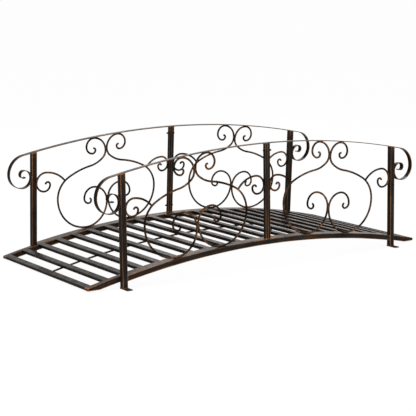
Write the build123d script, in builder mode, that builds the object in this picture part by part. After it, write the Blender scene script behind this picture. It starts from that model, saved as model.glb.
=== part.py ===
"""Garden moon bridge: an arched deck of steel slats between two scrollwork sides, each in two halves."""

import os
from math import asin, atan2, cos, degrees, hypot, radians, sin, sqrt, tan

from build123d import *

os.makedirs("parts", exist_ok=True)

# Overall sizes in millimetres: X runs along the bridge, Y across it and Z up from the ground
deck_length = 2100
deck_width = 864
deck_rise = 143
arch_radius = 4615
rail_height = 491
end_post_spacing = 1726

# The side panels lean inward by this many degrees; posts start this much longer to be cut true at the foot
panel_lean = 2
lean_overrun = 3

# Square tube of the end posts, bottom rails and deck stringers
tube = 28
tube_corner = 2
tip_height = 8

# Deck slats and the flat bar that ties them underneath
slat_count = 22
slat_width = 32
slat_thickness = 16
slat_corner = 2
spine_width = 12
spine_thickness = 6

# Middle posts: one narrow tube on each half panel, bolted back to back
mid_tube_length = 15
mid_tube_width = 20
mid_tube_corner = 1.5
joint_bolt_hole = 6.5
joint_bolt_inset = 40

# Foot plates under the end posts, with an anchor hole outside the post
foot_length = 32
foot_width = 68
foot_thickness = 4
foot_corner = 3
anchor_hole = 9

# Flat handrail bar and the volute at its outer end
rail_width = 25
rail_thickness = 4
volute_radius = 100
volute_radius_shares = (1.0, 0.76, 0.52, 0.42, 0.22, 0.18)
volute_last_turn = 130

# Rod of the scrollwork across its flats, and the gap left for each weld against a curved face
rod = 8
rod_sides = 6
weld_gap = 0.15
scroll_tilt = 2.4

# Place of the scroll pair between the posts: front left and back right are one kind of half panel
scroll_pair_shares = {1: 0.495, -1: 0.468}

# S-scroll from upper curl to lower curl: radius as a share of its size, and turn in degrees, left positive
scroll_first_heading = 160
scroll_upper_shares = (
    (0.021, 110),
    (0.039, 90),
    (0.079, 90),
    (0.100, 90),
    (0.153, 90),
    (0.117, 50),
    (0.343, 31),
    (0.904, -20),
)
scroll_lower_shares = (
    (0.281, -61),
    (0.366, -90),
    (0.284, -90),
    (0.177, -90),
    (0.125, -90),
    (0.059, -90),
    (0.031, -90),
    (0.027, -70),
)
scroll_arc_shares = scroll_upper_shares + scroll_lower_shares

# Side hook: it grows from the S-scroll's first lower arc, climbs to level and winds down beside the post
hook_root_share = 0.17
hook_rise_share = 0.85
hook_curl_shares = (0.31, 0.258, 0.195, 0.085, 0.066)
quarter_turn = 90

# Places worked out from the sizes above
half_length = deck_length / 2
end_post_x = end_post_spacing / 2
panel_y = deck_width / 2 + tube / 2
slat_length = deck_width - 2 * tube
deck_center_z = deck_rise - arch_radius
rail_center_z = deck_center_z + rail_height
rail_under_radius = arch_radius - rail_thickness
end_post_face = end_post_x - tube / 2
samples_per_arc = 40
fitting_rounds = 30


def deck_line(x, depth=0):
    """Point on the deck's arch at x, measured down from its top by depth."""
    return (x, deck_center_z + sqrt((arch_radius - depth) ** 2 - x**2))


def rail_line(x, depth=0):
    """Point on the handrail's arch at x, measured down from its top by depth."""
    return (x, rail_center_z + sqrt((arch_radius - depth) ** 2 - x**2))


# The panels turn about the bottom rail's top, halfway to the end post, so their feet move outward
_, lean_z = deck_line(end_post_x / 2)
foot_shift = lean_z * tan(radians(panel_lean))


def leaned(piece, side):
    """Piece of an upright side panel, turned to the panel's lean on its side of the bridge."""
    return piece.rotate(Axis((0, side * panel_y, lean_z), (1, 0, 0)), side * panel_lean)


def panel_plane(y):
    """Upright plane across the bridge at y, drawn in X and Z."""
    return Plane.XZ.offset(-y)


def mirrored(point, hand):
    """Point of the right half carried to the half named by hand, 1 for right and -1 for left."""
    return (hand * point[0], point[1])


def walk(start, heading, arcs):
    """Chain of tangent arcs as (start, middle, end) points, and the heading in degrees at its end."""
    chain = []
    point = start
    for radius, turn in arcs:
        side = 1 if turn > 0 else -1
        angle = radians(heading)
        center = (point[0] - side * radius * sin(angle), point[1] + side * radius * cos(angle))
        reach = side * radius
        bearings = [radians(heading + turn / 2), radians(heading + turn)]
        middle, end = [(center[0] + reach * sin(b), center[1] - reach * cos(b)) for b in bearings]
        chain.append((point, middle, end))
        point = end
        heading += turn
    return chain, heading


def sampled(start, heading, arcs):
    """Many points along a chain of arcs, for fitting it between the rails."""
    pieces = []
    for radius, turn in arcs:
        pieces += [(radius, turn / samples_per_arc)] * samples_per_arc
    chain, _ = walk(start, heading, pieces)
    return [piece[2] for piece in chain]


# S-scroll at size one, shifted so that its innermost touch lies on the pair's axis
unit_axis = min(x for x, _ in sampled((0, 0), scroll_first_heading, scroll_arc_shares))
unit_start = (-unit_axis, 0)
unit_points = sampled(unit_start, scroll_first_heading, scroll_arc_shares)
unit_height = max(z for _, z in unit_points) - min(z for _, z in unit_points)


def pair_place(kind):
    """Place along the bridge of the scroll pair on one kind of half panel, for the right half."""
    return mid_tube_length + scroll_pair_shares[kind] * (end_post_face - mid_tube_length)


def place_scroll(point, size, lift, direction, kind):
    """Point of the unit S-scroll on the right half: direction 1 faces the end post, -1 the middle post."""
    out = direction * (point[0] * size + rod / 2 + weld_gap / 2)
    up = point[1] * size + lift
    tilt = radians(scroll_tilt)
    along = pair_place(kind) + out * cos(tilt) + up * sin(tilt)
    return (along, deck_rise - out * sin(tilt) + up * cos(tilt))


def fit_scroll(direction, kind):
    """Size and lift that seat the S-scroll on the bottom rail and under the handrail."""
    seat = rod / 2 + weld_gap
    size = (rail_height - rail_thickness - rod) / unit_height
    lift = size * unit_height / 2
    for _ in range(fitting_rounds):
        points = [place_scroll(point, size, lift, direction, kind) for point in unit_points]
        below = min(hypot(x, z - deck_center_z) - arch_radius for x, z in points) - seat
        above = min(rail_under_radius - hypot(x, z - rail_center_z) for x, z in points) - seat
        size += (below + above) / unit_height / 2
        lift += (above - below) / 2
    return size, lift


def scroll_chain(direction, kind):
    """Arcs of one S-scroll on the right half, at the size that fits there."""
    size, lift = fit_scroll(direction, kind)
    chain, _ = walk(unit_start, scroll_first_heading, scroll_arc_shares)
    return [tuple(place_scroll(point, size, lift, direction, kind) for point in arc) for arc in chain]


def hook_chain(direction, kind):
    """Arcs of the side hook that runs from an S-scroll to the post beside it, on the right half."""
    size, lift = fit_scroll(direction, kind)
    radius, turn = scroll_lower_shares[0]
    before = scroll_upper_shares + ((radius, turn * hook_root_share),)
    chain, heading = walk(unit_start, scroll_first_heading, before)
    root = place_scroll(chain[-1][2], size, lift, direction, kind)
    # The hook leaves square to the scroll; both are worked out as if facing the end post
    rise = heading + quarter_turn - direction * scroll_tilt
    rise = (rise + 2 * quarter_turn) % (4 * quarter_turn) - 2 * quarter_turn
    start = (
        direction * root[0] + (rod / 2 + weld_gap) * cos(radians(rise)),
        root[1] + (rod / 2 + weld_gap) * sin(radians(rise)),
    )
    face = end_post_face if direction > 0 else -mid_tube_length
    reach = face - rod / 2 - weld_gap - start[0]
    hook_size = reach / (hook_rise_share * sin(radians(rise)) + hook_curl_shares[0])
    arcs = [(hook_rise_share * hook_size, -rise)]
    arcs += [(share * hook_size, -quarter_turn) for share in hook_curl_shares]
    chain, _ = walk(start, rise, arcs)
    return [tuple((direction * x, z) for x, z in arc) for arc in chain]


def arched_tube(x_from, x_to, y):
    """Square tube bent to the deck's arch with its rounded top flush, cut plumb at both ends."""
    # Bent one tube past each plumb cut, apart from an end at the middle of the bridge
    angles = [asin(x / (arch_radius - 2 * tube)) for x in (x_from, x_to)]
    tangent = (cos(angles[0]), 0, -sin(angles[0]))
    with BuildPart() as bar:
        with BuildSketch(Plane(origin=(0, 0, deck_center_z), x_dir=(0, 1, 0), z_dir=tangent)) as section:
            with Locations((y, arch_radius - tube / 2)):
                Rectangle(tube, tube)
            fillet(section.vertices().group_by(Axis.Y)[-1], tube_corner)
        revolve(axis=Axis((0, 0, deck_center_z), (0, 1, 0)), revolution_arc=degrees(angles[1] - angles[0]))
        if x_from:
            split(bisect_by=Plane.YZ.offset(x_from), keep=Keep.TOP)
        if x_to:
            split(bisect_by=Plane.YZ.offset(x_to), keep=Keep.BOTTOM)
    return bar.part


def stringer(y):
    """Deck tube from tip to tip, with the undersides of its tips cut level."""
    with BuildPart() as bar:
        add(arched_tube(-half_length, half_length, y))
        split(bisect_by=Plane.XY.offset(tip_height), keep=Keep.TOP)
    return bar.part


def bottom_rail(hand, y):
    """Tube of one half panel, beside the deck tube, from the middle of the bridge to the end post."""
    return arched_tube(*sorted((0, hand * end_post_face)), y)


def end_post(hand, side):
    """Square tube from the foot plate up to the underside of the handrail."""
    inner = hand * end_post_face
    outer = hand * (end_post_face + tube)
    depth = rail_thickness + weld_gap
    start = foot_thickness - lean_overrun
    with BuildPart() as upright:
        with BuildSketch(panel_plane(side * panel_y)):
            with BuildLine():
                top = ThreePointArc(*[rail_line(x, depth) for x in (inner, hand * end_post_x, outer)])
                Polyline(top @ 0, (inner, start), (outer, start), top @ 1)
            make_face()
        extrude(amount=tube / 2, both=True)
        fillet(upright.edges().filter_by(Axis.Z), tube_corner)
    with BuildPart() as post:
        add(leaned(upright.part, side))
        split(bisect_by=Plane.XY.offset(foot_thickness), keep=Keep.TOP)
    return post.part


def mid_post(hand, side):
    """Narrow tube at the middle of the bridge, bored for the two bolts that join the half panels."""
    outer = hand * mid_tube_length
    y = side * panel_y
    depth = rail_thickness + weld_gap
    bolt_heights = (deck_rise + joint_bolt_inset, deck_rise + rail_height - joint_bolt_inset)
    with BuildPart() as upright:
        with BuildSketch(panel_plane(y)):
            with BuildLine():
                top = ThreePointArc(*[rail_line(x, depth) for x in (0, outer / 2, outer)])
                foot = ThreePointArc(*[deck_line(x, lean_overrun) for x in (0, outer / 2, outer)])
                Line(top @ 0, foot @ 0)
                Line(top @ 1, foot @ 1)
            make_face()
        extrude(amount=mid_tube_width / 2, both=True)
        fillet(upright.edges().filter_by(Axis.Z), mid_tube_corner)
        with Locations(*[Location((0, y, height), (0, quarter_turn, 0)) for height in bolt_heights]):
            Hole(joint_bolt_hole / 2)
    with BuildPart() as post:
        add(leaned(upright.part, side))
        with Locations(Location((0, 0, deck_center_z), (quarter_turn, 0, 0))):
            Cylinder(arch_radius + weld_gap, 2 * (panel_y + tube), mode=Mode.SUBTRACT)
    return post.part


def foot_plate(hand, side):
    """Flat plate, flush with the post's inner face and reaching outward to its anchor hole."""
    inner_y = panel_y - tube / 2 + foot_shift
    outer_y = inner_y + foot_width
    hole_y = (inner_y + tube + outer_y) / 2
    with BuildPart() as plate:
        with BuildSketch():
            with Locations((hand * end_post_x, side * (inner_y + outer_y) / 2)):
                RectangleRounded(foot_length, foot_width, foot_corner)
            with Locations((hand * end_post_x, side * hole_y)):
                Circle(anchor_hole / 2, mode=Mode.SUBTRACT)
        extrude(amount=foot_thickness)
    return plate.part


def deck_slats(hand):
    """The slats of one half of the deck, each laid to the arch with its top flush."""
    outer_angle = asin(half_length / hypot(arch_radius, slat_width / 2)) - atan2(slat_width / 2, arch_radius)
    pitch = 2 * outer_angle / (slat_count - 1)
    places = []
    for number in range(slat_count // 2):
        angle = hand * (number + 1 / 2) * pitch
        point = (arch_radius * sin(angle), 0, deck_center_z + arch_radius * cos(angle))
        places.append(Location(point, (0, degrees(angle), 0)))
    with BuildPart() as slats:
        with Locations(*places):
            Box(slat_width, slat_length, slat_thickness, align=(Align.CENTER, Align.CENTER, Align.MAX))
        fillet(slats.edges().filter_by(Axis.Y), slat_corner)
    return slats.part


def deck_spine():
    """Flat bar under the middle of the slats, ending under the outermost ones."""
    end = half_length - slat_width / 2
    with BuildPart() as bar:
        with BuildSketch(Plane.XZ):
            with BuildLine():
                top = ThreePointArc(*[deck_line(x, slat_thickness) for x in (-end, 0, end)])
                depth = slat_thickness + spine_thickness
                under = ThreePointArc(*[deck_line(x, depth) for x in (-end, 0, end)])
                Line(top @ 0, under @ 0)
                Line(top @ 1, under @ 1)
            make_face()
        extrude(amount=spine_width / 2, both=True)
    return bar.part


def handrail(hand, y):
    """Flat bar bent over the posts, wound down at its outer end into a volute that meets the end post."""
    radii = [volute_radius * share for share in volute_radius_shares]
    bend = arch_radius - rail_thickness / 2
    touch = end_post_face + tube + weld_gap + rail_thickness / 2
    start_x = (touch - radii[0] + radii[1] + radii[2]) / (1 - radii[0] / bend)
    slope = degrees(asin(start_x / bend))
    turns = [slope - quarter_turn] + [-quarter_turn] * (len(radii) - 2) + [-volute_last_turn]
    half_bar = rail_thickness / 2
    volute, _ = walk(rail_line(start_x, half_bar), -slope, list(zip(radii, turns)))
    arch = (rail_line(0, half_bar), rail_line(start_x / 2, half_bar), rail_line(start_x, half_bar))
    with BuildPart() as bar:
        with BuildLine(panel_plane(y)) as path:
            for arc in [arch] + volute:
                ThreePointArc(*[mirrored(point, hand) for point in arc])
        with BuildSketch(Plane(origin=path.line @ 0, x_dir=(0, 1, 0), z_dir=path.line % 0)):
            Rectangle(rail_width, rail_thickness)
        sweep()
    return bar.part


def bent_rod(chain, hand, y):
    """Rod along a chain of arcs of the right half, carried to its own half and side."""
    with BuildPart() as bar:
        with BuildLine(panel_plane(y)) as path:
            for arc in chain:
                ThreePointArc(*[mirrored(point, hand) for point in arc])
        with BuildSketch(Plane(origin=path.line @ 0, x_dir=(0, 1, 0), z_dir=path.line % 0)):
            RegularPolygon(rod / 2, rod_sides, major_radius=False)
        sweep()
    return bar.part


def save(piece, name):
    piece.label = name
    export_step(piece, f"parts/{name}.step")


save(deck_spine(), "deck_spine")
for hand, half in ((-1, "left"), (1, "right")):
    save(deck_slats(hand), f"deck_slats_{half}")
for side, face in ((-1, "front"), (1, "back")):
    y = side * panel_y
    save(stringer(side * (deck_width / 2 - tube / 2)), f"{face}_stringer")
    for hand, half in ((-1, "left"), (1, "right")):
        save(foot_plate(hand, side), f"{face}_{half}_foot_plate")
        save(end_post(hand, side), f"{face}_{half}_end_post")
        save(mid_post(hand, side), f"{face}_{half}_mid_post")
        save(bottom_rail(hand, y), f"{face}_{half}_bottom_rail")
        save(leaned(handrail(hand, y), side), f"{face}_{half}_handrail")
        for direction, place in ((1, "outer"), (-1, "inner")):
            scroll = bent_rod(scroll_chain(direction, hand * side), hand, y)
            save(leaned(scroll, side), f"{face}_{half}_{place}_scroll")
            hook = bent_rod(hook_chain(direction, hand * side), hand, y)
            save(leaned(hook, side), f"{face}_{half}_{place}_hook")
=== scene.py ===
"""Looks of the garden moon bridge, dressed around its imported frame."""

import math
import random

import bmesh
import bpy
from mathutils import Matrix, Quaternion, Vector


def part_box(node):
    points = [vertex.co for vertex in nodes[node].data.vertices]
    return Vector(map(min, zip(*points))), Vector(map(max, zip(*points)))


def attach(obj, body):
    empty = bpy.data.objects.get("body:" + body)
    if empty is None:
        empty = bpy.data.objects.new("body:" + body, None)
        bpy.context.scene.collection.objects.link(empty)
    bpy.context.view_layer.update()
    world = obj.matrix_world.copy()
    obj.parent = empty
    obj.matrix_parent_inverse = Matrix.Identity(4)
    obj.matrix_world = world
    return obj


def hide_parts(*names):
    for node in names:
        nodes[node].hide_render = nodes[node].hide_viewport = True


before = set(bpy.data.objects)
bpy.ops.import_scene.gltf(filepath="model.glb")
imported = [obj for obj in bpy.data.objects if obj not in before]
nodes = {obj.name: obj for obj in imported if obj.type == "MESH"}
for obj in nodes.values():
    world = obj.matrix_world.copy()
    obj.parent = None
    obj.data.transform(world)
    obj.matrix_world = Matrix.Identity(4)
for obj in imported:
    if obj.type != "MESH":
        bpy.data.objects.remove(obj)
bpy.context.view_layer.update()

# Sizes in metres, read from the frame where it gives them
arch_radius = 4.615
rail_height = 0.491
deck_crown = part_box("front_stringer")[1].z
deck_center = deck_crown - arch_radius
rail_center = deck_center + rail_height
rail_thickness = 0.004
rail_width = 0.025
tube = 0.028
end_post_x = sum(corner.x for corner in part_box("front_right_end_post")) / 2
panel_y = sum(corner.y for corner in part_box("back_left_bottom_rail")) / 2
mid_post_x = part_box("front_right_mid_post")[1].x
mid_post_width = 0.020
slat_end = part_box("deck_slats_left")[1].y
slat_width = 0.032
slat_thickness = 0.016
slat_count = 22
foot_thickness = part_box("front_left_foot_plate")[1].z
bolt_inset = 0.040
rod_radius = 0.0053
merge_distance = 1e-5

# The side panels lean inward about the bottom rail's top, halfway to the end post
panel_lean = math.radians(2)
lean_height = deck_center + math.sqrt(arch_radius**2 - (end_post_x / 2) ** 2)

# The photograph's camera, in metres, degrees and pixels
view_target = Vector((-0.02312, 0.04004, 0.22836))
view_azimuth = -35.834
view_elevation = 10.342
view_roll = 0.373
view_distance = 6.88977
focal_pixels = 1280.45
image_pixels = 416
sensor_width = 36


# Node helpers


def fill_inputs(tree, node, inputs):
    """Links sockets to a node's inputs and sets plain values on them."""
    for name, value in inputs.items():
        if isinstance(value, bpy.types.NodeSocket):
            tree.links.new(value, node.inputs[name])
        else:
            node.inputs[name].default_value = value
    return node


def add_node(tree, kind, inputs=None, **settings):
    """New node with its settings and inputs."""
    node = tree.nodes.new(kind)
    for name, value in settings.items():
        setattr(node, name, value)
    return fill_inputs(tree, node, inputs or {})


def sums(tree, operation, *values, clamp=False):
    """Output of a Math node over sockets or numbers."""
    inputs = dict(enumerate(values))
    node = add_node(tree, "ShaderNodeMath", inputs, operation=operation, use_clamp=clamp)
    return node.outputs[0]


def spread(tree, value, low, high):
    """Value stretched from its own range to 0 to 1, with soft ends."""
    inputs = {"Value": value, "From Min": low, "From Max": high}
    node = add_node(tree, "ShaderNodeMapRange", inputs, interpolation_type="SMOOTHSTEP")
    return node.outputs[0]


def noise(tree, vector, scale, detail, roughness=0.5):
    """Noise value over a vector."""
    inputs = {"Vector": vector, "Scale": scale, "Detail": detail, "Roughness": roughness}
    return add_node(tree, "ShaderNodeTexNoise", inputs).outputs["Fac"]


def one_axis(tree, vector, axis):
    """One of the three numbers of a vector, by the axis's name."""
    return add_node(tree, "ShaderNodeSeparateXYZ", {0: vector}).outputs[axis]


def mixed_color(tree, factor, first, second):
    """Colour between two colours.

    A mix of colours has its sockets after those for numbers and vectors.
    """
    factor_socket, first_socket, second_socket, result_socket = 0, 6, 7, 2
    inputs = {factor_socket: factor, first_socket: first, second_socket: second}
    return add_node(tree, "ShaderNodeMix", inputs, data_type="RGBA").outputs[result_socket]


def new_group(name, inputs, outputs):
    """Empty shader group with named sockets, and its input and output nodes."""
    group = bpy.data.node_groups.new(name, "ShaderNodeTree")
    for socket, kind in inputs.items():
        group.interface.new_socket(socket, in_out="INPUT", socket_type=kind)
    for socket, kind in outputs.items():
        group.interface.new_socket(socket, in_out="OUTPUT", socket_type=kind)
    return group, group.nodes.new("NodeGroupInput"), group.nodes.new("NodeGroupOutput")


def use_group(tree, group, inputs):
    """The group placed in a material with its own values."""
    return fill_inputs(tree, add_node(tree, "ShaderNodeGroup", node_tree=group), inputs)


# Effects shared by the finishes


def arch_strokes_group():
    """Coordinates that follow an arch: length along it, place across it and height over it."""
    group, source, result = new_group(
        "arch_strokes",
        {"Place": "NodeSocketVector", "Center": "NodeSocketFloat"},
        {"Along": "NodeSocketVector"},
    )
    parts = add_node(group, "ShaderNodeSeparateXYZ", {0: source.outputs["Place"]})
    x = parts.outputs["X"]
    up = sums(group, "SUBTRACT", parts.outputs["Z"], source.outputs["Center"])
    squares = sums(group, "ADD", sums(group, "MULTIPLY", x, x), sums(group, "MULTIPLY", up, up))
    inputs = {
        "X": sums(group, "MULTIPLY", sums(group, "ARCTAN2", x, up), arch_radius),
        "Y": parts.outputs["Y"],
        "Z": sums(group, "SUBTRACT", sums(group, "SQRT", squares), arch_radius),
    }
    joined = add_node(group, "ShaderNodeCombineXYZ", inputs)
    group.links.new(joined.outputs[0], result.inputs["Along"])
    return group


def copper_rub_group():
    """Where copper is dry-brushed over the coat: on edges, at joints, in strokes and as flecks."""
    patch_shift = (-0.3, 0.0, 0.2)
    patch_range = (0.36, 0.62)
    stroke_range = (0.44, 0.68)
    fleck_scale, fleck_range = 420, (0.58, 0.68)
    daub_scale, daub_range, daub_share = 150, (0.38, 0.62), 0.22
    edge_in_strokes, edge_between = 0.5, 0.7
    amounts = (
        "Patch Scale",
        "Patch Share",
        "Edge",
        "Joint",
        "Edge Rub",
        "Stroke Rub",
        "Fleck Rub",
    )
    vectors = {"Place": "NodeSocketVector", "Strokes": "NodeSocketVector"}
    group, source, result = new_group(
        "copper_rub",
        vectors | {amount: "NodeSocketFloat" for amount in amounts},
        {"Mask": "NodeSocketFloat"},
    )
    place = source.outputs["Place"]
    patch_scale, patch_share, edge, joint, edge_rub, stroke_rub, fleck_rub = [
        source.outputs[amount] for amount in amounts
    ]
    shift = add_node(group, "ShaderNodeVectorMath", {0: place, 1: patch_shift})
    patches = spread(group, noise(group, shift.outputs["Vector"], patch_scale, 2), *patch_range)
    bare = sums(group, "MULTIPLY", patch_share, sums(group, "SUBTRACT", 1, patches))
    kept = sums(group, "SUBTRACT", 1, bare)
    strokes = spread(group, noise(group, source.outputs["Strokes"], 1, 3, 0.6), *stroke_range)
    flecks = spread(group, noise(group, place, fleck_scale, 2), *fleck_range)
    wear_and_sheen = sums(group, "MULTIPLY", sums(group, "MULTIPLY", edge, edge_rub), kept)
    broken = sums(group, "MULTIPLY_ADD", strokes, edge_in_strokes, edge_between)
    wear_and_sheen = sums(group, "MULTIPLY", wear_and_sheen, broken)
    brushed = sums(group, "MULTIPLY", sums(group, "MULTIPLY", strokes, stroke_rub), kept)
    daubs = spread(group, noise(group, place, daub_scale, 3), *daub_range)
    daubed = sums(group, "MULTIPLY", joint, daubs)
    mask = sums(group, "ADD", sums(group, "MULTIPLY_ADD", flecks, fleck_rub, wear_and_sheen), brushed)
    mask = sums(group, "ADD", mask, sums(group, "MULTIPLY", daubed, daub_share), clamp=True)
    group.links.new(mask, result.inputs["Mask"])
    return group


def coat_grain_group():
    """Fine orange peel of the baked coat, and its slow change from place to place."""
    peel_scale, fine_scale, fine_share = 520, 1500, 0.3
    drift_scale = 16
    group, source, result = new_group(
        "coat_grain",
        {"Place": "NodeSocketVector"},
        {"Height": "NodeSocketFloat", "Drift": "NodeSocketFloat"},
    )
    place = source.outputs["Place"]
    fine = noise(group, place, fine_scale, 1)
    height = sums(group, "MULTIPLY_ADD", fine, fine_share, noise(group, place, peel_scale, 2))
    group.links.new(height, result.inputs["Height"])
    group.links.new(noise(group, place, drift_scale, 3), result.inputs["Drift"])
    return group


def top_sheen_group():
    """Painted sheen: level tops, in patches, given a lighter colour and more metal so that they
    catch light.
    """
    level_range = (0.7, 0.95)
    patch_scale, patch_range = 30, (0.3, 0.7)
    in_patches, between = 0.6, 0.4
    group, source, result = new_group(
        "painted_top_sheen",
        {"Place": "NodeSocketVector"},
        {"Mask": "NodeSocketFloat"},
    )
    facing = add_node(group, "ShaderNodeNewGeometry").outputs["Normal"]
    level = spread(group, one_axis(group, facing, "Z"), *level_range)
    mottle = noise(group, source.outputs["Place"], patch_scale, 4, 0.6)
    patches = spread(group, mottle, *patch_range)
    mask = sums(group, "MULTIPLY", level, sums(group, "MULTIPLY_ADD", patches, in_patches, between))
    group.links.new(mask, result.inputs["Mask"])
    return group


# Finishes

charcoal_dark = (0.0030, 0.0030, 0.0028, 1)
charcoal_light = (0.0190, 0.0190, 0.0184, 1)
# Painted shade: a darker copy of the coat, for the slats, spine, handrail and rods
charcoal_painted_shade = (0.0055, 0.0054, 0.0051, 1)
copper_deep = (0.110, 0.047, 0.018, 1)
copper_bright = (0.42, 0.195, 0.080, 1)
# Painted sheen: the lighter colour that level tops take
painted_sheen_color = (0.024, 0.0205, 0.0175, 1)

arch_strokes = arch_strokes_group()
copper_rub = copper_rub_group()
coat_grain = coat_grain_group()
painted_top_sheen = top_sheen_group()


def worn_corner(tree, edge_reach):
    """How near a point is to an outer corner of its own piece, which the brush catches."""
    flat_face, sharp_corner = 0.94, 0.64
    settings = {"samples": 12, "inside": True, "only_local": True}
    inward = add_node(tree, "ShaderNodeAmbientOcclusion", {"Distance": edge_reach}, **settings)
    return spread(tree, inward.outputs["AO"], flat_face, sharp_corner)


def brushed_side(tree):
    """How squarely a rod's surface faces out of its panel, where the brush meets it."""
    turned_away, square_on = 0.15, 0.9
    facing = add_node(tree, "ShaderNodeNewGeometry").outputs["Normal"]
    out = one_axis(tree, facing, "Y")
    return spread(tree, sums(tree, "ABSOLUTE", out), turned_away, square_on)


def clear_of_joint(tree, place):
    """Zero in the joint at mid span, where two half panels meet and no brush gets in."""
    closed, open_to_brush = 0.004, 0.009
    x = one_axis(tree, place, "X")
    return spread(tree, sums(tree, "ABSOLUTE", x), closed, open_to_brush)


def under_rail(tree, place):
    """How near a point of a post is to the handrail that is welded on it."""
    far_below, close_below = -0.048, -0.018
    inputs = {"Place": place, "Center": rail_center}
    along = use_group(tree, arch_strokes, inputs).outputs["Along"]
    return spread(tree, one_axis(tree, along, "Z"), far_below, close_below)


def antique_coat(
    name,
    stroke_scale,
    patches,
    rubs,
    edge_reach=None,
    arch_center=None,
    satin=0.3,
    joint=None,
    coat=charcoal_light,
):
    """Charcoal coat with copper brushed over it, and a painted sheen on level tops.

    stroke_scale stretches the strokes along the piece, patches gives the scale of the
    unbrushed patches and how bare they are, and rubs the copper on edges, in strokes and
    as flecks. Without an edge_reach the copper lies where a rod faces out of its panel.
    """
    drift_rough, rub_polish = 0.16, -0.08
    # sheen_metal: how far the painted sheen on level tops turns to metal
    sheen_metal, rub_metal = 0.85, 0.7
    rub_height = 0.6
    bump_settings = {"Strength": 0.12, "Distance": 0.0004}
    coat_gloss = 0.012
    patch_scale, patch_share = patches
    edge_rub, stroke_rub, fleck_rub = rubs
    material = bpy.data.materials.new(name)
    material.use_nodes = True
    tree = material.node_tree
    tree.nodes.clear()
    place = add_node(tree, "ShaderNodeTexCoord").outputs["Object"]
    along = place
    edge = worn_corner(tree, edge_reach) if edge_reach else brushed_side(tree)
    if arch_center is not None:
        inputs = {"Place": place, "Center": arch_center}
        along = use_group(tree, arch_strokes, inputs).outputs["Along"]
        edge = sums(tree, "MULTIPLY", edge, clear_of_joint(tree, place))
    strokes = add_node(tree, "ShaderNodeMapping", {"Vector": along, "Scale": stroke_scale})
    rub = use_group(
        tree,
        copper_rub,
        {
            "Place": place,
            "Strokes": strokes.outputs["Vector"],
            "Patch Scale": patch_scale,
            "Patch Share": patch_share,
            "Joint": joint(tree, place) if joint else 0,
            "Edge": edge,
            "Edge Rub": edge_rub,
            "Stroke Rub": stroke_rub,
            "Fleck Rub": fleck_rub,
        },
    ).outputs["Mask"]
    grain = use_group(tree, coat_grain, {"Place": place})
    drift = grain.outputs["Drift"]
    # Painted sheen: level tops turn lighter and more metal, so that they catch light
    wear_and_sheen = use_group(tree, painted_top_sheen, {"Place": place}).outputs["Mask"]
    mottled = mixed_color(tree, drift, charcoal_dark, coat)
    charcoal = mixed_color(tree, wear_and_sheen, mottled, painted_sheen_color)
    copper = mixed_color(tree, rub, copper_deep, copper_bright)
    dull = sums(tree, "MULTIPLY_ADD", drift, drift_rough, satin - drift_rough / 2)
    roughness = sums(tree, "MULTIPLY_ADD", rub, rub_polish, dull)
    rubbed_metal = sums(tree, "MULTIPLY", rub, rub_metal)
    metal = sums(tree, "MULTIPLY_ADD", wear_and_sheen, sheen_metal, rubbed_metal, clamp=True)
    height = sums(tree, "MULTIPLY_ADD", rub, rub_height, grain.outputs["Height"])
    bump = add_node(tree, "ShaderNodeBump", {"Height": height} | bump_settings)
    surface = add_node(
        tree,
        "ShaderNodeBsdfPrincipled",
        {
            "Base Color": mixed_color(tree, rub, charcoal, copper),
            "Metallic": metal,
            "Roughness": roughness,
            "Specular IOR Level": coat_gloss,
            "Normal": bump.outputs["Normal"],
        },
    )
    add_node(tree, "ShaderNodeOutputMaterial", {"Surface": surface.outputs["BSDF"]})
    return material


# Strokes run up the posts, along the arches and across the deck
upright_strokes = (260, 260, 5)
arch_tube_strokes = (5, 260, 260)
handrail_strokes = (6, 260, 260)
slat_strokes = (260, 5, 260)
rod_daubs = (60, 60, 60)
plate_daubs = (90, 90, 90)
small_daubs = (200, 200, 200)

coats = {
    "post_coat": {
        "stroke_scale": upright_strokes,
        "patches": (1.7, 0.7),
        "rubs": (1.3, 0.12, 0.15),
        "edge_reach": 0.0046,
        "joint": under_rail,
    },
    "mid_post_coat": {
        "stroke_scale": upright_strokes,
        "patches": (1.7, 0.5),
        "rubs": (1.5, 0.08, 0.1),
        "edge_reach": 0.0034,
        "joint": under_rail,
    },
    "arch_tube_coat": {
        "stroke_scale": arch_tube_strokes,
        "patches": (7, 0.5),
        "rubs": (1.3, 0.25, 0.18),
        "edge_reach": 0.0052,
        "arch_center": deck_center,
    },
    # The slats, spine, handrail and rods take the darker coat with painted shade
    "deck_slat_coat": {
        "stroke_scale": slat_strokes,
        "patches": (9, 0.6),
        "rubs": (0.35, 0.15, 0.12),
        "edge_reach": 0.004,
        "coat": charcoal_painted_shade,
    },
    "spine_coat": {
        "stroke_scale": arch_tube_strokes,
        "patches": (9, 0.6),
        "rubs": (0.3, 0.2, 0.15),
        "edge_reach": 0.002,
        "arch_center": deck_center,
        "coat": charcoal_painted_shade,
    },
    "handrail_coat": {
        "stroke_scale": handrail_strokes,
        "patches": (12, 0.6),
        "rubs": (0.8, 0.12, 0.1),
        "edge_reach": 0.0025,
        "arch_center": rail_center,
        "coat": charcoal_painted_shade,
    },
    "scroll_rod_coat": {
        "stroke_scale": rod_daubs,
        "patches": (9, 0.95),
        "rubs": (0.45, 0.22, 0.16),
        "satin": 0.6,
        "coat": charcoal_painted_shade,
    },
    "foot_plate_coat": {
        "stroke_scale": plate_daubs,
        "patches": (9, 0.5),
        "rubs": (0.6, 0.15, 0.15),
        "edge_reach": 0.002,
    },
    "weld_coat": {
        "stroke_scale": small_daubs,
        "patches": (40, 0.2),
        "rubs": (0.8, 1.0, 0.9),
        "edge_reach": 0.001,
    },
    "bolt_coat": {
        "stroke_scale": small_daubs,
        "patches": (40, 0.8),
        "rubs": (0.3, 0.1, 0.1),
        "edge_reach": 0.001,
    },
}
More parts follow.
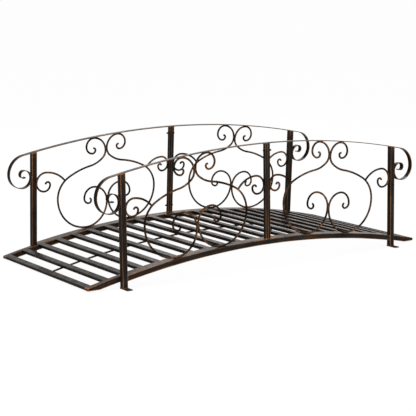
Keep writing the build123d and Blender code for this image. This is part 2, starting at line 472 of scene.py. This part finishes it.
finishes = {name: antique_coat(name, **settings) for name, settings in coats.items()}
piece_finishes = {
    "mid_post": "mid_post_coat",
    "end_post": "post_coat",
    "stringer": "arch_tube_coat",
    "bottom_rail": "arch_tube_coat",
    "slats": "deck_slat_coat",
    "spine": "spine_coat",
    "handrail": "handrail_coat",
    "foot_plate": "foot_plate_coat",
    "scroll": "scroll_rod_coat",
    "hook": "scroll_rod_coat",
}
for name, node in nodes.items():
    finish = next(coat for word, coat in piece_finishes.items() if word in name)
    node.data.materials.clear()
    node.data.materials.append(finishes[finish])


# New pieces


def finish_piece(bm, name, slot, finish=None, replaced=None):
    """Makes a bmesh a piece of the bridge, in the finish named by slot or in its own finish."""
    mesh = bpy.data.meshes.new(name)
    bm.to_mesh(mesh)
    bm.free()
    piece = bpy.data.objects.new(name, mesh)
    bpy.context.scene.collection.objects.link(piece)
    mesh.materials.append(finishes[finish or slot])
    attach(piece, "root")
    if replaced:
        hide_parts(replaced)


def smooth(bm):
    """Shades every face of a bmesh as part of one rounded surface."""
    for face in bm.faces:
        face.smooth = True


def edges_of(verts):
    """The edges that meet in any of the given corners."""
    return {edge for vert in verts for edge in vert.link_edges}


def round_edges(bm, edges, offset, segments):
    """Rounds edges of a bmesh."""
    bmesh.ops.bevel(
        bm,
        geom=list(edges),
        offset=offset,
        segments=segments,
        profile=0.5,
        affect="EDGES",
        material=-1,
    )


def lean(side):
    """Turn of a side panel from upright to its lean: side -1 is the front and 1 the back."""
    axis = Matrix.Translation((0, side * panel_y, lean_height))
    return axis @ Matrix.Rotation(side * panel_lean, 4, "X") @ axis.inverted()


def rod_line(name, side):
    """Points along a rod's middle in the upright panel, read from the corner along its back."""
    bm = bmesh.new()
    bm.from_mesh(nodes[name].data)
    bmesh.ops.remove_doubles(bm, verts=bm.verts, dist=merge_distance)
    bmesh.ops.transform(bm, matrix=lean(side).inverted(), verts=bm.verts)
    back = max(v.co.y for v in bm.verts) - rod_radius / 10
    ridge = {}
    for vert in bm.verts:
        if vert.co.y > back:
            others = [edge.other_vert(vert) for edge in vert.link_edges]
            ridge[vert] = [other for other in others if other.co.y > back]
    ends = [vert for vert in ridge if len(ridge[vert]) == 1]
    vert = min(ends, key=lambda end: (end.co.z, end.co.x))
    points = []
    seen = set()
    while vert:
        points.append(Vector((vert.co.x, side * panel_y, vert.co.z)))
        seen.add(vert)
        vert = next((other for other in ridge[vert] if other not in seen), None)
    bm.free()
    return points


def round_rod(name, points, side):
    """Round rod with softened ends in place of a six-sided one of the frame."""
    end_share = 0.8
    curve = bpy.data.curves.new(name, "CURVE")
    curve.dimensions = "3D"
    curve.bevel_depth = rod_radius
    curve.bevel_resolution = 2
    curve.use_fill_caps = True
    spline = curve.splines.new("POLY")
    spline.points.add(len(points) - 1)
    for spot, point in zip(spline.points, points):
        spot.co = (*point, 1)
    for end in (0, -1):
        spline.points[end].radius = end_share
    bent = bpy.data.objects.new(name + "_line", curve)
    bm = bmesh.new()
    bm.from_mesh(bpy.data.meshes.new_from_object(bent))
    bpy.data.objects.remove(bent)
    bmesh.ops.remove_doubles(bm, verts=bm.verts, dist=merge_distance)
    bmesh.ops.recalc_face_normals(bm, faces=bm.faces)
    bmesh.ops.transform(bm, matrix=lean(side), verts=bm.verts)
    smooth(bm)
    finish_piece(bm, name + "_rod", "scroll_rod_coat", replaced=name)


def arch_point(x, center, depth=0):
    """Point of the upright panel's plane on an arch, measured down from its top by depth."""
    return Vector((x, 0, center + math.sqrt((arch_radius - depth) ** 2 - x * x)))


def weld(bm, dice, place, along, length, radius, finer=2):
    """Run of overlapping drops of weld metal along a joint."""
    wander = 0.12
    smallest, largest = 0.85, 1.15
    count = max(2, round(length / radius))
    for number in range(count):
        spot = place + along * length * (number / (count - 1) - 0.5)
        spot += Vector([dice.uniform(-wander, wander) * radius for _ in range(3)])
        shape = Matrix.Diagonal([dice.uniform(smallest, largest) for _ in range(3)]).to_4x4()
        drop = Matrix.Translation(spot) @ shape
        bmesh.ops.create_icosphere(bm, subdivisions=finer, radius=radius, matrix=drop)


def nearest_touches(first, second):
    """Where two rods of a pair touch: the closest points of their upper and lower halves."""
    middle = sum(p.z for p in first) / len(first)
    touches = []
    for upper in (True, False):
        near = [p for p in first if (p.z > middle) == upper]
        far = [p for p in second if (p.z > middle) == upper]
        pairs = ((p, q) for p in near for q in far)
        a, b = min(pairs, key=lambda pair: (pair[0] - pair[1]).length)
        touches.append((a + b) / 2)
    return touches


def volute_touch(handrail, side):
    """Height in the upright panel at which a handrail's volute comes nearest to its end post."""
    bm = bmesh.new()
    bm.from_mesh(nodes[handrail].data)
    bmesh.ops.transform(bm, matrix=lean(side).inverted(), verts=bm.verts)
    below_rail = arch_point(end_post_x, rail_center).z - tube
    low = [vert.co for vert in bm.verts if vert.co.z < below_rail]
    height = min(low, key=lambda co: abs(co.x)).z
    bm.free()
    return height


def half_panel_welds(bm, dice, lines, handrail, side, hand):
    """Welds of one half panel: rods on rails, posts and each other, rail and volute on posts."""
    rod_drop, rail_drop, volute_drop = 0.0032, 0.0022, 0.0026
    scroll_run, root_run, hook_run = 0.014, 0.006, 0.012
    rail_run, post_run, volute_run = rail_width * 0.8, mid_post_width * 0.8, rail_width * 0.9
    sunk = rod_radius * 0.8
    across = Vector((0, 1, 0))
    up = Vector((0, 0, 1))
    depth = Vector((0, side * panel_y, 0))
    inner_face, outer_face = hand * (end_post_x - tube / 2), hand * (end_post_x + tube / 2)
    for scroll in (lines["outer_scroll"], lines["inner_scroll"]):
        low = min(scroll, key=lambda p: math.hypot(p.x, p.z - deck_center))
        high = max(scroll, key=lambda p: math.hypot(p.x, p.z - rail_center))
        for point, center, way in ((low, deck_center, -1), (high, rail_center, 1)):
            outward = Vector((point.x, 0, point.z - center)).normalized()
            along = Vector((outward.z, 0, -outward.x))
            weld(bm, dice, point + way * outward * sunk, along, scroll_run, rod_drop)
    for touch in nearest_touches(lines["outer_scroll"], lines["inner_scroll"]):
        weld(bm, dice, touch, up, scroll_run, rod_drop)
    for place, face in (("outer", inner_face), ("inner", hand * mid_post_x)):
        hook, scroll = lines[place + "_hook"], lines[place + "_scroll"]
        ends = (hook[0], hook[-1])
        root = min(ends, key=lambda end: min((end - p).length for p in scroll))
        weld(bm, dice, root, across, root_run, rod_drop)
        touch = min(hook, key=lambda p: abs(p.x - face))
        weld(bm, dice, Vector((face, touch.y, touch.z)), up, hook_run, rod_drop)
    for x in (inner_face, outer_face):
        spot = arch_point(x, rail_center, rail_thickness) + depth
        weld(bm, dice, spot, across, rail_run, rail_drop)
    for center, below in ((rail_center, rail_thickness), (deck_center, 0)):
        spot = arch_point(hand * mid_post_x, center, below) + depth
        weld(bm, dice, spot, across, post_run, rail_drop)
    spot = Vector((outer_face, side * panel_y, volute_touch(handrail, side)))
    weld(bm, dice, spot, across, volute_run, volute_drop)


def foot_weld(bm, plate, side, hand):
    """Sloped run of weld where an end post stands on its foot plate, with rounded corners."""
    run, run_width, corner_round = 0.0035, 0.45, 0.002
    inner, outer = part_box(plate)
    flush = inner.y if side > 0 else outer.y
    place = Vector((hand * end_post_x, flush + side * tube / 2, foot_thickness + run / 2))
    half_diagonal = math.sqrt(2)
    made = bmesh.ops.create_cone(
        bm,
        cap_ends=True,
        segments=4,
        radius1=half_diagonal * (tube / 2 + run * run_width),
        radius2=half_diagonal * tube / 2,
        depth=run,
        matrix=Matrix.Translation(place) @ Matrix.Rotation(math.pi / 4, 4, "Z"),
    )
    corners = [
        edge
        for edge in edges_of(made["verts"])
        if abs(edge.verts[0].co.z - edge.verts[1].co.z) > run / 2
    ]
    round_edges(bm, corners, corner_round, 2)


def turned(bm, place, x_from, x_to, segments, radius):
    """Short bar along the bridge between two places, round or with few flats; gives its corners."""
    middle = place + Vector(((x_from + x_to) / 2, 0, 0))
    made = bmesh.ops.create_cone(
        bm,
        cap_ends=True,
        segments=segments,
        radius1=radius,
        radius2=radius,
        depth=abs(x_to - x_from),
        matrix=Matrix.Translation(middle) @ Matrix.Rotation(math.pi / 2, 4, "Y"),
    )
    return made["verts"]


def joint_bolt(bm, place, nut_side):
    """Bolt through a middle post pair: head and washer one side, washer and cap nut the other."""
    across_flats, flat_round = 0.010, 0.0006
    washer, head, nut, dome = 0.0016, 0.004, 0.006, 0.007
    washer_radius, dome_radius, dome_round = 0.0075, 0.0048, 0.0042
    corner = across_flats / math.sqrt(3)
    for way, block in ((nut_side, nut), (-nut_side, head)):
        face = way * mid_post_x
        seat = face + way * washer
        turned(bm, place, face, seat, 24, washer_radius)
        verts = turned(bm, place, seat, face + way * (washer + block), 6, corner)
        round_edges(bm, edges_of(verts), flat_round, 2)
    tip = nut_side * (mid_post_x + washer + nut)
    verts = turned(bm, place, tip, tip + nut_side * dome, 20, dome_radius)
    rim = [
        edge
        for edge in edges_of(verts)
        if all(abs(vert.co.x - tip) > dome / 2 for vert in edge.verts)
    ]
    round_edges(bm, rim, dome_round, 5)


def slat_welds(bm, dice, side):
    """Short welds under the end of every slat on one side, where it meets the deck tube."""
    run, drop_radius = slat_width * 0.7, 0.0026
    reach = math.hypot(arch_radius, slat_width / 2)
    slat_angle = math.atan2(slat_width / 2, arch_radius)
    outer = math.asin(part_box("front_stringer")[1].x / reach) - slat_angle
    pitch = 2 * outer / (slat_count - 1)
    for number in range(slat_count):
        angle = (number - (slat_count - 1) / 2) * pitch
        out = Vector((math.sin(angle), 0, math.cos(angle)))
        along = Vector((math.cos(angle), 0, -math.sin(angle)))
        end = Vector((0, side * slat_end, deck_center))
        under = out * (arch_radius - slat_thickness) + end
        weld(bm, dice, under, along, run, drop_radius, finer=1)


weld_seed = 7
for face, side in (("front", -1), ("back", 1)):
    dice = random.Random(side + weld_seed)
    beads = bmesh.new()
    bolts = bmesh.new()
    feet = bmesh.new()
    for half, hand in (("left", -1), ("right", 1)):
        panel = f"{face}_{half}"
        lines = {}
        for rod in ("outer_scroll", "inner_scroll", "outer_hook", "inner_hook"):
            name = f"{panel}_{rod}"
            lines[rod] = rod_line(name, side)
            round_rod(name, lines[rod], side)
        half_panel_welds(beads, dice, lines, f"{panel}_handrail", side, hand)
        foot_weld(feet, f"{panel}_foot_plate", side, hand)
    for height in (deck_crown + bolt_inset, deck_crown + rail_height - bolt_inset):
        joint_bolt(bolts, Vector((0, side * panel_y, height)), -side)
    for bm in (beads, bolts):
        bmesh.ops.transform(bm, matrix=lean(side), verts=bm.verts)
    smooth(beads)
    finish_piece(beads, f"{face}_panel_welds", "scroll_rod_coat", "weld_coat")
    finish_piece(bolts, f"{face}_joint_bolts", "post_coat", "bolt_coat")
    finish_piece(feet, f"{face}_foot_welds", "foot_plate_coat")
    runs = bmesh.new()
    slat_welds(runs, dice, side)
    smooth(runs)
    finish_piece(runs, f"{face}_slat_welds", "arch_tube_coat")


# Floor, light and camera

white = (1, 1, 1, 1)
floor_white = (0.96, 0.96, 0.96, 1)


def seen_ray(tree):
    """One for rays from the camera, or seen in gloss or through glass, and zero for light."""
    path = add_node(tree, "ShaderNodeLightPath").outputs
    either = sums(tree, "MAXIMUM", path["Is Camera Ray"], path["Is Glossy Ray"])
    return sums(tree, "MAXIMUM", either, path["Is Transmission Ray"])


def pale_floor():
    """Wide white floor that shows the camera white and keeps a soft shadow."""
    glow_share = 0.94
    floor_reach = 150
    bm = bmesh.new()
    bmesh.ops.create_grid(bm, x_segments=1, y_segments=1, size=floor_reach)
    mesh = bpy.data.meshes.new("floor")
    bm.to_mesh(mesh)
    bm.free()
    floor = bpy.data.objects.new("floor", mesh)
    bpy.context.scene.collection.objects.link(floor)
    material = bpy.data.materials.new("white_floor")
    material.use_nodes = True
    tree = material.node_tree
    tree.nodes.clear()
    matt = add_node(tree, "ShaderNodeBsdfDiffuse", {"Color": floor_white}).outputs[0]
    glow = add_node(tree, "ShaderNodeEmission", {"Color": white, "Strength": 1}).outputs[0]
    share = sums(tree, "MULTIPLY", seen_ray(tree), glow_share)
    mixed = add_node(tree, "ShaderNodeMixShader", {0: share, 1: matt, 2: glow})
    add_node(tree, "ShaderNodeOutputMaterial", {"Surface": mixed.outputs[0]})
    mesh.materials.append(material)


def white_surround():
    """World that is white to the eye and lights the bridge a little less."""
    ambient = 0.75
    world = bpy.data.worlds.new("white_surround")
    bpy.context.scene.world = world
    world.use_nodes = True
    tree = world.node_tree
    tree.nodes.clear()
    strength = sums(tree, "MULTIPLY_ADD", seen_ray(tree), 1 - ambient, ambient)
    background = add_node(tree, "ShaderNodeBackground", {"Color": white, "Strength": strength})
    add_node(tree, "ShaderNodeOutputWorld", {"Surface": background.outputs[0]})


def soft_lamp(name, place, size, power):
    """Square soft lamp that faces the middle of the bridge."""
    data = bpy.data.lights.new(name, "AREA")
    data.size = size
    data.energy = power
    lamp = bpy.data.objects.new(name, data)
    lamp.location = place
    lamp.rotation_euler = (view_target - Vector(place)).to_track_quat("-Z", "Y").to_euler()
    bpy.context.scene.collection.objects.link(lamp)


def photo_camera():
    """Camera at the photograph's place and angle."""
    azimuth, elevation = math.radians(view_azimuth), math.radians(view_elevation)
    away = Vector((
        math.cos(elevation) * math.sin(azimuth),
        -math.cos(elevation) * math.cos(azimuth),
        math.sin(elevation),
    ))
    data = bpy.data.cameras.new("photo_camera")
    data.sensor_fit = "HORIZONTAL"
    data.sensor_width = sensor_width
    data.lens = sensor_width * focal_pixels / image_pixels
    camera = bpy.data.objects.new("photo_camera", data)
    camera.location = view_target + view_distance * away
    roll = Quaternion((0, 0, 1), math.radians(view_roll))
    camera.rotation_euler = ((-away).to_track_quat("-Z", "Y") @ roll).to_euler()
    bpy.context.scene.collection.objects.link(camera)
    bpy.context.scene.camera = camera


pale_floor()
white_surround()
soft_lamp("overhead_lamp", (-0.5, 0.5, 4), size=4, power=120)
soft_lamp("front_lamp", (1.5, -5, 3), size=5, power=120)
soft_lamp("rear_lamp", (3.0, 4.2, 3.8), size=2.5, power=50)
photo_camera()
bpy.context.scene.view_settings.view_transform = "Standard"
